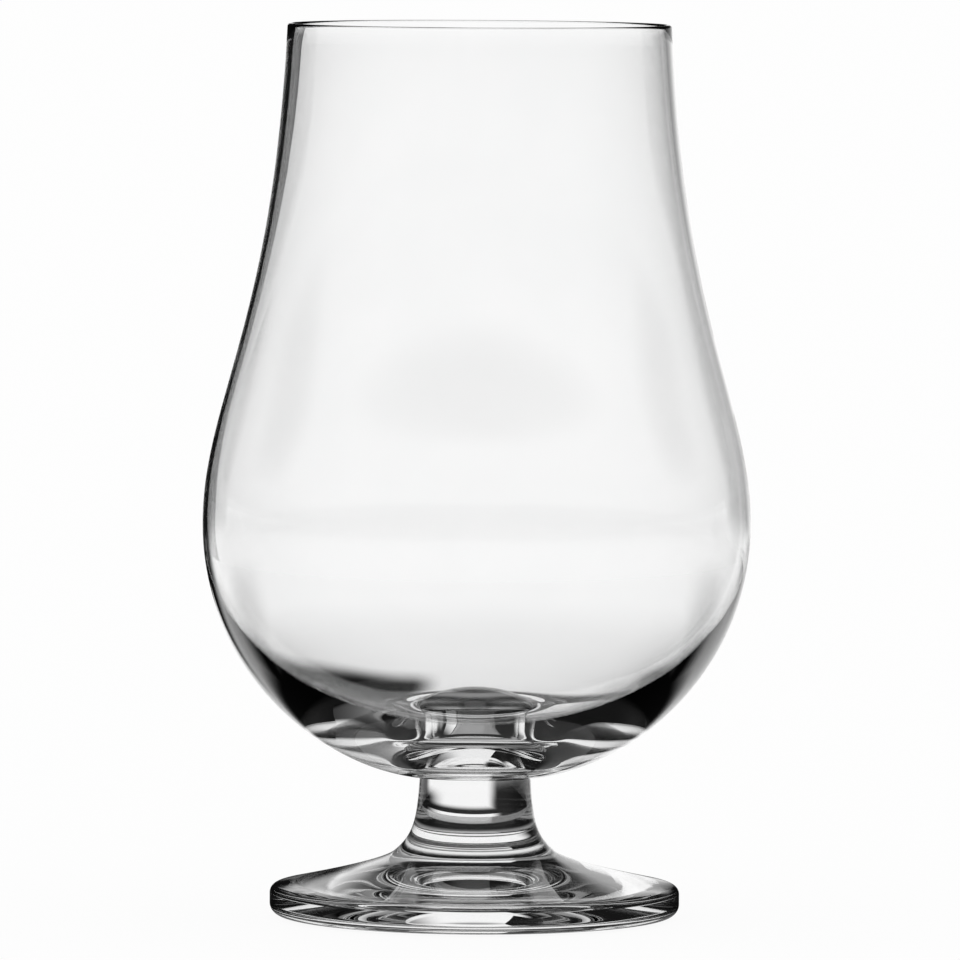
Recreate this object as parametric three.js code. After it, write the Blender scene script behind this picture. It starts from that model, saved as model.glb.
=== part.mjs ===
// Tulip-shaped spirit glass: a blown bowl, a short solid stem and a round foot.
// The three pieces of clear glass are joined flat face to flat face on one upright axis.
// Millimetres, +Z up. The foot stands on z = 0, centred on the Z axis.

import * as THREE from 'three';

// Bowl, outside
const bowlHeight = 97.1;
const rimDiameter = 49.5;
const neckRun = 38.5; // how far down the neck keeps the direction it has at the rim
const neckSpread = 1.7; // how much the neck widens over that run
const bellyDiameter = 70.7;
const bellyHeight = 32.7; // widest level, above the bowl's underside
const shoulderRun = 15.5; // how far the belly stays upright above its widest level
const bellyRun = 19.1; // how far the belly stays upright below its widest level
const undersideRun = 12.7; // how far the underside stays nearly flat around the stem
const undersideRise = 0.9; // how much the underside climbs over that run

// Bowl, inside
const rimWall = 0.85;
const thinnestWall = 0.5;
const thinnestHeight = 48; // level of the thinnest wall, above the bowl's underside
const bellyWall = 0.6;
const cavityRun = 19.8; // how far the cavity stays upright below the belly
const troughDiameter = 18; // lowest ring of the floor, around the button
const troughThickness = 4.8; // solid glass between the bowl's underside and that ring
const troughRun = 6.9; // how far the floor stays nearly level outside that ring
const buttonHeight = 3; // how far the button over the stem stands up from that ring
const buttonFootRun = 2; // how far the floor stays nearly level inside that ring
const buttonRun = 5.5; // how far the top of the button stays nearly level around the axis

// Stem, whose top face meets the bowl and whose flared end meets the foot
const stemDiameter = 14.3;
const stemLength = 9.7;
const stemRun = 5.7; // how far down the stem keeps the direction it has at the top
const stemTaper = 0.3; // how much its radius grows over that run
const flareDiameter = 20.8;
const flareRun = 3.2; // how far up the stem the slope of the flare reaches
const flareSlope = THREE.MathUtils.degToRad(40);

// Foot
const footDiameter = 52.9;
const footHeight = 8.2;
const crownRun = 2.2; // how far down the foot the slope of the flare reaches
const edgeHeight = 3.9; // level where the sloping top would meet the edge
const edgeSlope = THREE.MathUtils.degToRad(12);
const edgeRun = 5.2; // how far in from the edge the top keeps that slope
const topCornerRadius = 1.1;
const bottomCornerRadius = 1.5;
const recessDiameter = 45;
const recessDepth = 2.4;

// Facets
const turnSteps = 48;
const longCurveSteps = 14;
const shortCurveSteps = 8;
const cornerSteps = 4;

const rimRadius = rimDiameter / 2;
const bellyRadius = bellyDiameter / 2;
const stemRadius = stemDiameter / 2;
const flareRadius = flareDiameter / 2;
const footRadius = footDiameter / 2;
const recessRadius = recessDiameter / 2;
const troughRadius = troughDiameter / 2;

const point = (radius, height) => new THREE.Vector2(radius, height);

// The point at a distance from another, in the direction of an angle above the level
function pointAlong(start, distance, angle) {
  return point(start.x + distance * Math.cos(angle), start.y + distance * Math.sin(angle));
}

// A smooth curve between two points, which leaves and reaches them along its handles
function curve(from, fromHandle, toHandle, to, steps) {
  return new THREE.CubicBezierCurve(from, fromHandle, toHandle, to).getPoints(steps);
}

// A round stretch about a centre, from one angle above the level to another
function arc(centre, radius, fromAngle, toAngle, steps) {
  const turn = (step) => THREE.MathUtils.lerp(fromAngle, toAngle, step / steps);
  return Array.from({ length: steps + 1 }, (_, step) => pointAlong(centre, radius, turn(step)));
}

// Thickness of the bowl's wall, measured level, at a height between the belly and the rim
function wallAt(height) {
  const farWall = height > thinnestHeight ? rimWall : bellyWall;
  const farHeight = height > thinnestHeight ? bowlHeight : bellyHeight;
  const share = (height - thinnestHeight) / (farHeight - thinnestHeight);
  return THREE.MathUtils.lerp(thinnestWall, farWall, THREE.MathUtils.smoothstep(share, 0, 1));
}

// Turns an outline, given from the lower end of the axis to its upper end, into a solid of glass
function turned(name, outline) {
  const geometry = new THREE.LatheGeometry(outline, turnSteps);
  geometry.rotateX(Math.PI / 2);
  const glass = new THREE.MeshStandardMaterial({
    color: 0xf4f5f5,
    roughness: 0.02,
    metalness: 0,
    transparent: true,
    opacity: 0.35,
  });
  const mesh = new THREE.Mesh(geometry, glass);
  mesh.name = name;
  return mesh;
}

// The bowl: a wall between an outer and an inner outline, with a round rim and a thick base.
// The stem, joined on hot, has pushed a low round button up into the middle of its floor.
function makeBowl() {
  const seat = point(stemRadius, 0);
  const belly = point(bellyRadius, bellyHeight);
  const rimRound = rimWall / 2;
  const rim = point(rimRadius, bowlHeight - rimRound);
  const underside = curve(
    seat,
    point(seat.x + undersideRun, undersideRise),
    point(bellyRadius, bellyHeight - bellyRun),
    belly,
    longCurveSteps,
  );
  const neck = curve(
    belly,
    point(bellyRadius, bellyHeight + shoulderRun),
    point(rimRadius + neckSpread, rim.y - neckRun),
    rim,
    longCurveSteps,
  );
  const lip = arc(point(rimRadius - rimRound, rim.y), rimRound, 0, Math.PI, cornerSteps);
  const inside = neck.map((outer) => point(outer.x - wallAt(outer.y), outer.y)).reverse();
  const trough = point(troughRadius, troughThickness);
  const floor = curve(
    inside[longCurveSteps],
    point(bellyRadius - bellyWall, bellyHeight - cavityRun),
    point(troughRadius + troughRun, troughThickness),
    trough,
    longCurveSteps,
  );
  const buttonTop = point(0, troughThickness + buttonHeight);
  const button = curve(
    trough,
    point(troughRadius - buttonFootRun, troughThickness),
    point(buttonRun, buttonTop.y),
    buttonTop,
    shortCurveSteps,
  );
  return turned('bowl', [
    point(0, 0),
    ...underside,
    ...neck.slice(1),
    ...lip.slice(1, -1),
    ...inside,
    ...floor.slice(1),
    ...button.slice(1),
  ]);
}

// The stem: a short taper that flares out to the foot
function makeStem() {
  const top = point(stemRadius, stemLength);
  const end = point(flareRadius, 0);
  const side = curve(
    end,
    pointAlong(end, flareRun, Math.PI - flareSlope),
    point(stemRadius + stemTaper, stemLength - stemRun),
    top,
    longCurveSteps,
  );
  return turned('stem', [point(0, 0), ...side, point(0, stemLength)]);
}

// The foot: a disc that stands on a flat ring, hollowed below and sloping up to the stem
function makeFoot() {
  const hollowRadius = (recessRadius ** 2 + recessDepth ** 2) / (2 * recessDepth);
  const hollowCentre = point(0, recessDepth - hollowRadius);
  const hollowEnd = Math.acos(recessRadius / hollowRadius);
  const hollow = arc(hollowCentre, hollowRadius, Math.PI / 2, hollowEnd, shortCurveSteps);
  const bottomCentre = point(footRadius - bottomCornerRadius, bottomCornerRadius);
  const bottomCorner = arc(bottomCentre, bottomCornerRadius, -Math.PI / 2, 0, cornerSteps);
  const topCentre = point(footRadius - topCornerRadius, edgeHeight - topCornerRadius);
  const topCorner = arc(topCentre, topCornerRadius, 0, Math.PI / 2 - edgeSlope, cornerSteps);
  const edge = topCorner[cornerSteps];
  const seat = point(flareRadius, footHeight);
  const top = curve(
    edge,
    pointAlong(edge, edgeRun, Math.PI - edgeSlope),
    pointAlong(seat, crownRun, -flareSlope),
    seat,
    longCurveSteps,
  );
  return turned('foot', [
    ...hollow,
    ...bottomCorner,
    ...topCorner,
    ...top.slice(1),
    point(0, footHeight),
  ]);
}

// The foot stands on the table, the stem on the foot and the bowl on the stem
const foot = makeFoot();
const stem = makeStem();
const bowl = makeBowl();
stem.position.z = footHeight;
bowl.position.z = footHeight + stemLength;

const glass = new THREE.Group();
glass.add(foot, stem, bowl);

export default glass;
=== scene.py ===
import math
from functools import reduce

import bpy
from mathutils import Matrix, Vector


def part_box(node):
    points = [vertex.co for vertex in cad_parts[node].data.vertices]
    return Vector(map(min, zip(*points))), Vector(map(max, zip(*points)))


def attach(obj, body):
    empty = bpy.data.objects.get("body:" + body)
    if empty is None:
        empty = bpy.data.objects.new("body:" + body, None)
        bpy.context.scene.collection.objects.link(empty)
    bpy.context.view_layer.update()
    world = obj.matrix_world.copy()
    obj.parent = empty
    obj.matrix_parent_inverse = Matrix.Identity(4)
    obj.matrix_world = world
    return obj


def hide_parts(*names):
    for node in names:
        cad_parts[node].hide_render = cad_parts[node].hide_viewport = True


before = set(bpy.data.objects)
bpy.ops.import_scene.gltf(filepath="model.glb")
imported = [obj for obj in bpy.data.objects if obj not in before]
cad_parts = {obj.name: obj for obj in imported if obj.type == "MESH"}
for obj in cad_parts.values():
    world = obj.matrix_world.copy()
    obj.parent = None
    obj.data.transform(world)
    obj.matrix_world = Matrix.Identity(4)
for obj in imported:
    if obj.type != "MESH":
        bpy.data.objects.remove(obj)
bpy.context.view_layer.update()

MM = 0.001

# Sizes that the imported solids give, in millimetres

bowl_low, bowl_high = (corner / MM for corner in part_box("bowl"))
stem_low, stem_high = (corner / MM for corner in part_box("stem"))
foot_low, foot_high = (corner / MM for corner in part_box("foot"))

bowl_height = bowl_high.z - bowl_low.z
belly_radius = bowl_high.x
stem_length = stem_high.z - stem_low.z
flare_radius = stem_high.x
foot_height = foot_high.z
foot_radius = foot_high.x

# Outline of the bowl, in millimetres above its underside

rim_radius = 24.75
neck_run = 38.5  # how far down the neck keeps the direction it has at the rim
neck_spread = 1.7  # how much the neck widens over that run
belly_height = 32.7
shoulder_run = 15.5  # how far the belly stays upright above its widest level
belly_run = 19.1  # how far the belly stays upright below its widest level
underside_run = 12.7  # how far the underside stays nearly flat around the stem
underside_rise = 0.9  # how much the underside climbs over that run
rim_wall = 0.85
thinnest_wall = 0.5
thinnest_height = 48
belly_wall = 0.6
cavity_run = 19.8  # how far the cavity stays upright below the belly
trough_radius = 9  # lowest ring of the floor, around the button
trough_thickness = 4.8
trough_run = 6.9  # how far the floor stays nearly level outside that ring
button_height = 3
button_foot_run = 2  # how far the floor stays nearly level inside that ring
button_run = 5.5  # how far the top of the button stays nearly level

# Outline of the stem and the foot

stem_radius = 7.15
stem_run = 5.7  # how far down the stem keeps the direction it has at the top
stem_taper = 0.3  # how much its radius grows over that run
flare_run = 3.2  # how far up the stem the slope of the flare reaches
flare_slope = math.radians(40)
crown_run = 2.2  # how far down the foot the slope of the flare reaches
edge_height = 3.9
edge_slope = math.radians(12)
edge_run = 5.2  # how far in from the edge the top keeps its slope
top_corner_radius = 1.1
bottom_corner_radius = 1.5
recess_radius = 22.5
recess_depth = 2.4

# Facets, fine enough for smooth refraction

turn_steps = 192
long_steps = 48
short_steps = 24
corner_steps = 12
corner_angle = math.radians(25)

# Joints, where the pieces are fused

joint_levels = (stem_low.z, bowl_low.z)
joint_tolerance = 0.001

# Glass

glass_ior = 1.515
glass_clear, glass_tinted = (1, 1, 1, 1), (0.985, 0.987, 0.987, 1)
tint_start, tint_full = 0.3, 0.7
wave_scale, wave_detail = 75, 2
wave_height = 0.000012
smear_scale, smear_detail = 260, 4
smear_start, smear_full = 0.5, 0.8
smear_roughness = 0.008

# Floor of the studio. All places in the studio are in millimetres, and all turns in degrees from
# straight behind the glass, more to the right.

floor_level = -0.3
floor_half = 20000
floor_colour = (1, 1, 1, 1)
shadow_share = 0.06

# White panel behind the glass, dimmer to the right and at the top, and a dark flag on its left

panel_distance = 350
panel_left, panel_right = -75, 450
panel_high, panel_fade = 170, 115
glow_start, glow_reach = 55, 90
flag_left, flag_high = -450, 140
flag_soft, flag_hard = -220, -160
card_foot = 50  # height over which the cards blend into the floor

# Low dark wall around the foot, lower in the gap behind the stem

wall_radius, wall_solid, wall_high = 42, 9, 17
wall_left_open, wall_left_closed = -6, -13
wall_right_open, wall_right_closed = 34, 44
wall_back_solid, wall_back_high = 2, 5

# Painted shade on the floor, shown only in the glass: a disc of paler painted light under the foot with a
# dark core, and a ring of painted shadow around it with a gap behind

shade_sheet_size = 18000
darkest_shade, under_foot_light = 0.008, 0.3
core_radius, core_edge = 11, 16
shade_disc_middle, shade_disc_inner = 25, 28
shadow_ring_fade, shadow_ring_edge = 62, 95
shadow_left_open, shadow_left_closed = -8, -16
shadow_right_open, shadow_right_closed = 18, 40

# Dark strips of painted shade behind the glass, beside the panel's light

strip_slope = 0.21  # how far each strip moves outward for each millimetre further back
strip_left_start, strip_left_full = -28, -46
strip_right_start, strip_right_full = 40, 130
strip_stay, strip_end = 25, 38

# Dark wedges of painted shade on both sides, and painted dimming of the far floor down to the level of
# the room

wedge_start, wedge_full, wedge_stay, wedge_end = 47, 65, 69, 87
wedge_near, wedge_far = 100, 300
side_turn, side_full = 40, 60
side_start, side_end = 260, 1600

# Room that the glass shows: dark, with dim light near the horizon in front of it

room_dark = 0.01
room_horizon = 0.35
room_rise_dark, room_rise_lit = 45, 25
room_side_dark, room_side_lit = 76, 130

# Camera, from the fit of the photograph's outline

camera_place = Vector((0.4, -1369.2, 142.5)) * MM
camera_pitch = math.radians(3.605)
camera_roll = math.radians(0.35)
camera_lens, camera_sensor = 399.1, 36
camera_nearest, camera_farthest = 0.01, 100

# Bounces, enough for light to pass all the walls of the glass

most_bounces = 24
most_reflections = 12
most_joints = 32


def along(start, distance, angle):
    """The point at a distance from another, in the direction of an angle above the level."""
    return (start[0] + distance * math.cos(angle), start[1] + distance * math.sin(angle))


def curve(start, start_handle, end_handle, end, steps):
    """Points of a smooth curve that leaves and reaches its ends along its handles."""
    marks = (start, start_handle, end_handle, end)
    points = []
    for step in range(steps + 1):
        t = step / steps
        weights = ((1 - t) ** 3, 3 * (1 - t) ** 2 * t, 3 * (1 - t) * t ** 2, t ** 3)
        points.append(tuple(sum(w * mark[axis] for w, mark in zip(weights, marks)) for axis in (0, 1)))
    return points


def arc(centre, radius, from_angle, to_angle, steps):
    """Points of a round stretch about a centre."""
    turn = (to_angle - from_angle) / steps
    return [along(centre, radius, from_angle + turn * step) for step in range(steps + 1)]


def circle(radius):
    """Points all round the axis, one for each facet."""
    return [along((0, 0), radius, 2 * math.pi * step / turn_steps) for step in range(turn_steps)]


def wall_at(height):
    """Thickness of the bowl's wall, measured level, between the belly and the rim."""
    above = height > thinnest_height
    far_wall = rim_wall if above else belly_wall
    far_height = bowl_height if above else belly_height
    share = (height - thinnest_height) / (far_height - thinnest_height)
    share = min(max(share, 0), 1)
    return thinnest_wall + (far_wall - thinnest_wall) * share * share * (3 - 2 * share)


def bowl_outline():
    """Underside, neck, round rim, inside and floor, with the button over the stem."""
    belly = (belly_radius, belly_height)
    rim_round = rim_wall / 2
    rim = (rim_radius, bowl_height - rim_round)
    underside = curve(
        (stem_radius, 0),
        (stem_radius + underside_run, underside_rise),
        (belly_radius, belly_height - belly_run),
        belly,
        long_steps,
    )
    neck = curve(
        belly,
        (belly_radius, belly_height + shoulder_run),
        (rim_radius + neck_spread, rim[1] - neck_run),
        rim,
        long_steps,
    )
    lip = arc((rim_radius - rim_round, rim[1]), rim_round, 0, math.pi, corner_steps)
    inside = [(radius - wall_at(height), height) for radius, height in reversed(neck)]
    trough = (trough_radius, trough_thickness)
    floor = curve(
        inside[-1],
        (belly_radius - belly_wall, belly_height - cavity_run),
        (trough_radius + trough_run, trough_thickness),
        trough,
        long_steps,
    )
    button_level = trough_thickness + button_height
    button = curve(
        trough,
        (trough_radius - button_foot_run, trough_thickness),
        (button_run, button_level),
        (0, button_level),
        short_steps,
    )
    return [(0, 0), *underside, *neck[1:], *lip[1:-1], *inside, *floor[1:], *button[1:]]


def stem_outline():
    """A short taper that flares out to the foot."""
    end = (flare_radius, 0)
    side = curve(
        end,
        along(end, flare_run, math.pi - flare_slope),
        (stem_radius + stem_taper, stem_length - stem_run),
        (stem_radius, stem_length),
        long_steps,
    )
    return [(0, 0), *side, (0, stem_length)]


def foot_outline():
    """A disc on a flat ring, hollowed below and sloping up to the stem."""
    hollow_radius = (recess_radius ** 2 + recess_depth ** 2) / (2 * recess_depth)
    hollow_end = math.acos(recess_radius / hollow_radius)
    hollow = arc((0, recess_depth - hollow_radius), hollow_radius, math.pi / 2, hollow_end, short_steps)
    bottom_centre = (foot_radius - bottom_corner_radius, bottom_corner_radius)
    bottom_corner = arc(bottom_centre, bottom_corner_radius, -math.pi / 2, 0, corner_steps)
    top_centre = (foot_radius - top_corner_radius, edge_height - top_corner_radius)
    top_corner = arc(top_centre, top_corner_radius, 0, math.pi / 2 - edge_slope, corner_steps)
    edge = top_corner[-1]
    seat = (flare_radius, foot_height)
    top = curve(
        edge,
        along(edge, edge_run, math.pi - edge_slope),
        along(seat, crown_run, -flare_slope),
        seat,
        long_steps,
    )
    return [*hollow, *bottom_corner, *top_corner, *top[1:], (0, foot_height)]


def mesh_object(name, corners, faces):
    """An object from corners in millimetres."""
    mesh = bpy.data.meshes.new(name)
    mesh.from_pydata([[value * MM for value in corner] for corner in corners], [], faces)
    piece = bpy.data.objects.new(name, mesh)
    bpy.context.collection.objects.link(piece)
    return piece


def turned(name, outline, level):
    """A closed solid turned from an outline that starts and ends on the axis."""
    corners = [(0, 0, outline[0][1] + level)]
    for radius, height in outline[1:-1]:
        corners.extend((x, y, height + level) for x, y in circle(radius))
    corners.append((0, 0, outline[-1][1] + level))
    rings = len(outline) - 2
    last = len(corners) - 1
    faces = []
    for step in range(turn_steps):
        after = (step + 1) % turn_steps
        faces.append((0, 1 + after, 1 + step))
        for ring in range(rings - 1):
            here = 1 + ring * turn_steps
            above = here + turn_steps
            faces.append((here + step, here + after, above + after, above + step))
        top = 1 + (rings - 1) * turn_steps
        faces.append((top + step, top + after, last))
    piece = mesh_object(name, corners, faces)
    piece.data.shade_smooth()
    piece.data.set_sharp_from_angle(angle=corner_angle)
    return piece


def new_material(name):
    material = bpy.data.materials.new(name)
    material.use_nodes = True
    material.node_tree.nodes.clear()
    return material, material.node_tree


def node(tree, kind, **values):
    made = tree.nodes.new(kind)
    for name, value in values.items():
        setattr(made, name, value)
    return made


def maths(tree, operation, *values):
    """The result of a sum, from numbers and sockets."""
    made = node(tree, "ShaderNodeMath", operation=operation)
    for socket, value in zip(made.inputs, values):
        if isinstance(value, (int, float)):
            socket.default_value = value
        else:
            tree.links.new(value, socket)
    return made.outputs[0]


def product(tree, *values):
    return reduce(lambda first, second: maths(tree, "MULTIPLY", first, second), values)


def greatest(tree, *values):
    return reduce(lambda first, second: maths(tree, "MAXIMUM", first, second), values)


def ramp(tree, value, start, end):
    """Goes smoothly from 0 to 1 as a value goes from start to end."""
    made = node(tree, "ShaderNodeMapRange", interpolation_type="SMOOTHSTEP")
    flip = start > end
    made.inputs["From Min"].default_value = min(start, end)
    made.inputs["From Max"].default_value = max(start, end)
    made.inputs["To Min"].default_value = 1 if flip else 0
    made.inputs["To Max"].default_value = 0 if flip else 1
    tree.links.new(value, made.inputs["Value"])
    return made.outputs[0]


def noise(tree, place, scale, detail):
    made = node(tree, "ShaderNodeTexNoise")
    made.inputs["Scale"].default_value = scale
    made.inputs["Detail"].default_value = detail
    tree.links.new(place, made.inputs["Vector"])
    return made.outputs["Fac"]


def place_in_mm(tree):
    """How far a point lies to the right, to the back and up."""
    geometry = node(tree, "ShaderNodeNewGeometry")
    split = node(tree, "ShaderNodeSeparateXYZ")
    tree.links.new(geometry.outputs["Position"], split.inputs[0])
    return [maths(tree, "DIVIDE", place, MM) for place in split.outputs]


def turn_from_behind(tree, across, back):
    return maths(tree, "DEGREES", maths(tree, "ARCTAN2", across, back))


def clear_glass():
    """Fire-polished glass with faint waves in its surface, a breath of tint and traces of wiping."""
    material, tree = new_material("clear_glass")
    output = node(tree, "ShaderNodeOutputMaterial")
    shader = node(tree, "ShaderNodeBsdfPrincipled")
    shader.inputs["Transmission Weight"].default_value = 1
    shader.inputs["IOR"].default_value = glass_ior
    place = node(tree, "ShaderNodeTexCoord").outputs["Object"]
    waves = noise(tree, place, wave_scale, wave_detail)
    smears = noise(tree, place, smear_scale, smear_detail)
    tint = node(tree, "ShaderNodeValToRGB")
    tint.color_ramp.elements[0].position = tint_start
    tint.color_ramp.elements[0].color = glass_clear
    tint.color_ramp.elements[1].position = tint_full
    tint.color_ramp.elements[1].color = glass_tinted
    tree.links.new(waves, tint.inputs["Fac"])
    tree.links.new(tint.outputs["Color"], shader.inputs["Base Color"])
    wiped = node(tree, "ShaderNodeMapRange")
    wiped.inputs["From Min"].default_value = smear_start
    wiped.inputs["From Max"].default_value = smear_full
    wiped.inputs["To Max"].default_value = smear_roughness
    tree.links.new(smears, wiped.inputs["Value"])
    tree.links.new(wiped.outputs[0], shader.inputs["Roughness"])
    bump = node(tree, "ShaderNodeBump")
    bump.inputs["Distance"].default_value = wave_height
    tree.links.new(waves, bump.inputs["Height"])
    tree.links.new(bump.outputs["Normal"], shader.inputs["Normal"])
    tree.links.new(shader.outputs[0], output.inputs["Surface"])
    return material


def fused_joint():
    """Inside the fused glass a joint bends and mirrors nothing, so its faces let all light pass."""
    material, tree = new_material("fused_joint")
    output = node(tree, "ShaderNodeOutputMaterial")
    shader = node(tree, "ShaderNodeBsdfTransparent")
    tree.links.new(shader.outputs[0], output.inputs["Surface"])
    return material


def at_joint(piece, face):
    """Whether a face lies flat in one of the joints."""
    heights = [piece.data.vertices[corner].co.z / MM for corner in face.vertices]
    return any(all(abs(height - level) < joint_tolerance for height in heights) for level in joint_levels)


def floor_material():
    """White for the camera and in the glass, with a share of its own shading and shadow."""
    material, tree = new_material("floor")
    output = node(tree, "ShaderNodeOutputMaterial")
    lit = node(tree, "ShaderNodeBsdfDiffuse")
    lit.inputs["Color"].default_value = floor_colour
    white = node(tree, "ShaderNodeEmission")
    mix = node(tree, "ShaderNodeMixShader")
    path = node(tree, "ShaderNodeLightPath").outputs
    seen = greatest(tree, path["Is Glossy Ray"], path["Is Transmission Ray"], path["Is Camera Ray"])
    tree.links.new(product(tree, seen, 1 - shadow_share), mix.inputs["Fac"])
    tree.links.new(lit.outputs[0], mix.inputs[1])
    tree.links.new(white.outputs[0], mix.inputs[2])
    tree.links.new(mix.outputs[0], output.inputs["Surface"])
    return material


def panel_material():
    """White light that dims to the right and at the top, and blends into the floor."""
    material, tree = new_material("panel")
    output = node(tree, "ShaderNodeOutputMaterial")
    glow = node(tree, "ShaderNodeEmission")
    across, back, up = place_in_mm(tree)
    past = maths(tree, "DIVIDE", maths(tree, "SUBTRACT", across, glow_start), glow_reach)
    past = greatest(tree, past, 0)
    fall = maths(tree, "DIVIDE", 1, maths(tree, "ADD", 1, product(tree, past, past)))
    fall = greatest(tree, fall, ramp(tree, up, card_foot, 0))
    tree.links.new(product(tree, fall, ramp(tree, up, panel_high, panel_fade)), glow.inputs["Strength"])
    tree.links.new(glow.outputs[0], output.inputs["Surface"])
    return material


def soft_card(name):
    """A material whose card fades out where its cover falls to 0."""
    material, tree = new_material(name)
    output = node(tree, "ShaderNodeOutputMaterial")
    shade = node(tree, "ShaderNodeEmission")
    clear = node(tree, "ShaderNodeBsdfTransparent")
    mix = node(tree, "ShaderNodeMixShader")
    tree.links.new(clear.outputs[0], mix.inputs[1])
    tree.links.new(shade.outputs[0], mix.inputs[2])
    tree.links.new(mix.outputs[0], output.inputs["Surface"])
    return material, tree, shade.inputs["Strength"], mix.inputs["Fac"]


def flag_material():
    """Dark, fading into the floor away from the panel."""
    material, tree, strength, cover = soft_card("flag")
    strength.default_value = darkest_shade
    across, back, up = place_in_mm(tree)
    near = ramp(tree, across, flag_soft, flag_hard)
    tree.links.new(greatest(tree, ramp(tree, up, 0, card_foot), near), cover)
    return material


def wall_material():
    """Dark, with a soft top that drops in the gap behind the stem."""
    material, tree, strength, cover = soft_card("wall")
    strength.default_value = darkest_shade
    across, back, up = place_in_mm(tree)
    turn = turn_from_behind(tree, across, back)
    left = ramp(tree, turn, wall_left_open, wall_left_closed)
    right = ramp(tree, turn, wall_right_open, wall_right_closed)
    tall = product(tree, greatest(tree, left, right), ramp(tree, up, wall_high, wall_solid))
    low = ramp(tree, up, wall_back_high, wall_back_solid)
    tree.links.new(greatest(tree, tall, low), cover)
    return material


def painted_shade_material():
    """Painted shade that only the glass shows: disc, ring, strips and wedges, and the far floor painted
    dimmer to the room.
    """
    material, tree, strength, cover = soft_card("painted_floor_shade")
    across, back, up = place_in_mm(tree)
    squares = maths(tree, "ADD", product(tree, across, across), product(tree, back, back))
    radius = maths(tree, "SQRT", squares)
    turn = turn_from_behind(tree, across, back)
    aside = maths(tree, "ABSOLUTE", turn)

    disc = ramp(tree, radius, shade_disc_inner, shade_disc_middle)
    left = ramp(tree, turn, shadow_left_open, shadow_left_closed)
    right = ramp(tree, turn, shadow_right_open, shadow_right_closed)
    ring = product(tree, greatest(tree, left, right), ramp(tree, radius, shadow_ring_edge, shadow_ring_fade))

    lean = product(tree, back, strip_slope)
    left = ramp(tree, maths(tree, "ADD", across, lean), strip_left_start, strip_left_full)
    right = ramp(tree, maths(tree, "SUBTRACT", across, lean), strip_right_start, strip_right_full)
    strips = product(tree, greatest(tree, left, right), ramp(tree, aside, strip_end, strip_stay))

    wedges = product(
        tree,
        ramp(tree, aside, wedge_start, wedge_full),
        ramp(tree, aside, wedge_end, wedge_stay),
        ramp(tree, radius, wedge_far, wedge_near),
    )
    far_dimming = product(tree, ramp(tree, aside, side_turn, side_full), ramp(tree, radius, side_start, side_end))

    # Paler painted light under the foot around a dark core, and painted dimming of the far floor to the
    # room's level
    pale = product(tree, disc, ramp(tree, radius, core_radius, core_edge), under_foot_light)
    glow = maths(tree, "ADD", pale, product(tree, far_dimming, room_horizon))
    tree.links.new(maths(tree, "ADD", glow, darkest_shade), strength)
    tree.links.new(greatest(tree, disc, ring, strips, wedges, far_dimming), cover)
    return material


def studio_card(name, corners, faces, material):
    """A card that only the glass shows."""
    card = mesh_object(name, corners, faces)
    card.data.materials.append(material)
    card.visible_camera = False
    card.visible_diffuse = False
    card.visible_shadow = False


def standing_card(name, left, right, high, material):
    """A card that stands upright behind the glass."""
    outline = [(left, floor_level), (right, floor_level), (right, high), (left, high)]
    studio_card(name, [(x, panel_distance, z) for x, z in outline], [(0, 1, 2, 3)], material)


# The glass

glass = clear_glass()
joint = fused_joint()
outlines = {
    "foot": (foot_outline(), foot_low.z),
    "stem": (stem_outline(), stem_low.z),
    "bowl": (bowl_outline(), bowl_low.z),
}
for name, (outline, level) in outlines.items():
    piece = turned(name + "_glass", outline, level)
    piece.data.materials.append(glass)
    piece.data.materials.append(joint)
    for face in piece.data.polygons:
        face.material_index = 1 if at_joint(piece, face) else 0
    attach(piece, "root")
    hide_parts(name)

# The studio

square = [(-1, -1), (1, -1), (1, 1), (-1, 1)]
corners = [(x * floor_half, y * floor_half, floor_level) for x, y in square]
floor = mesh_object("floor", corners, [(0, 1, 2, 3)])
floor.data.materials.append(floor_material())

standing_card("panel", panel_left, panel_right, panel_high, panel_material())
standing_card("flag", flag_left, panel_left, flag_high, flag_material())

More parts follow.
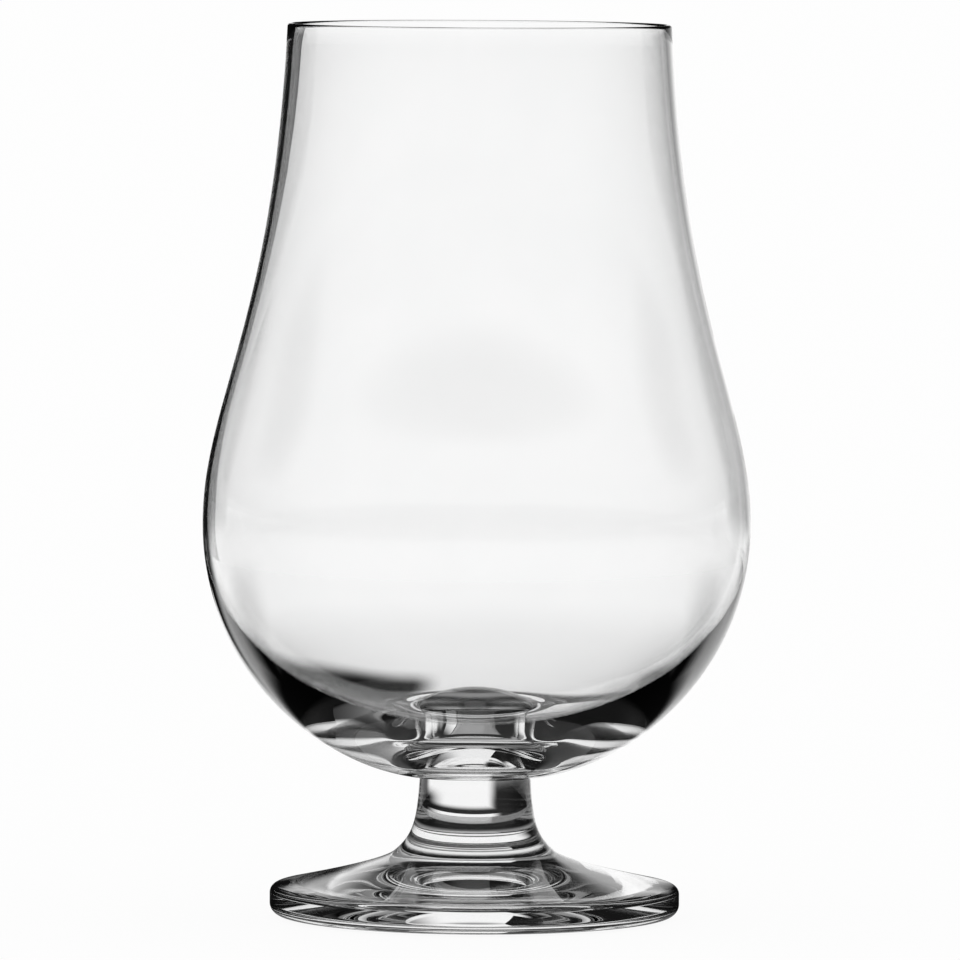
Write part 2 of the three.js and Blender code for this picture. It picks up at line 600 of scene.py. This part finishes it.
corners = [(x, y, z) for z in (floor_level, wall_high) for x, y in circle(wall_radius)]
faces = []
for step in range(turn_steps):
    after = (step + 1) % turn_steps
    faces.append((step, after, after + turn_steps, step + turn_steps))
studio_card("wall", corners, faces, wall_material())

# Sheet of painted shade and shadow on the floor, which only the glass shows
corners = [(x, y, floor_level / 2) for x, y in circle(shade_sheet_size)]
studio_card("painted_floor_shade", corners, [tuple(range(turn_steps))], painted_shade_material())

# The world: plain white light for the camera and the floor, and a dim room in the glass

scene = bpy.context.scene
world = bpy.data.worlds.new("studio")
scene.world = world
world.use_nodes = True
world.cycles.sampling_method = "NONE"
tree = world.node_tree
tree.nodes.clear()
output = node(tree, "ShaderNodeOutputWorld")
sky = node(tree, "ShaderNodeBackground")
path = node(tree, "ShaderNodeLightPath").outputs
split = node(tree, "ShaderNodeSeparateXYZ")
tree.links.new(node(tree, "ShaderNodeTexCoord").outputs["Generated"], split.inputs[0])
aside = maths(tree, "ABSOLUTE", turn_from_behind(tree, split.outputs["X"], split.outputs["Y"]))
rise = maths(tree, "DEGREES", maths(tree, "ARCSINE", split.outputs["Z"]))
level = product(
    tree,
    ramp(tree, rise, room_rise_dark, room_rise_lit),
    ramp(tree, aside, room_side_dark, room_side_lit),
    room_horizon,
)
room = maths(tree, "ADD", level, room_dark)
strength = greatest(tree, path["Is Camera Ray"], path["Is Diffuse Ray"], room)
tree.links.new(strength, sky.inputs["Strength"])
tree.links.new(sky.outputs[0], output.inputs["Surface"])

# The camera

camera_data = bpy.data.cameras.new("camera")
camera_data.sensor_width = camera_sensor
camera_data.lens = camera_lens
camera_data.clip_start = camera_nearest
camera_data.clip_end = camera_farthest
camera = bpy.data.objects.new("camera", camera_data)
bpy.context.collection.objects.link(camera)
camera.location = camera_place
camera.rotation_mode = "ZXY"
camera.rotation_euler = (math.pi / 2 - camera_pitch, 0, camera_roll)
scene.camera = camera

scene.view_settings.view_transform = "Standard"
scene.cycles.max_bounces = most_bounces
scene.cycles.transmission_bounces = most_bounces
scene.cycles.glossy_bounces = most_reflections
scene.cycles.transparent_max_bounces = most_joints
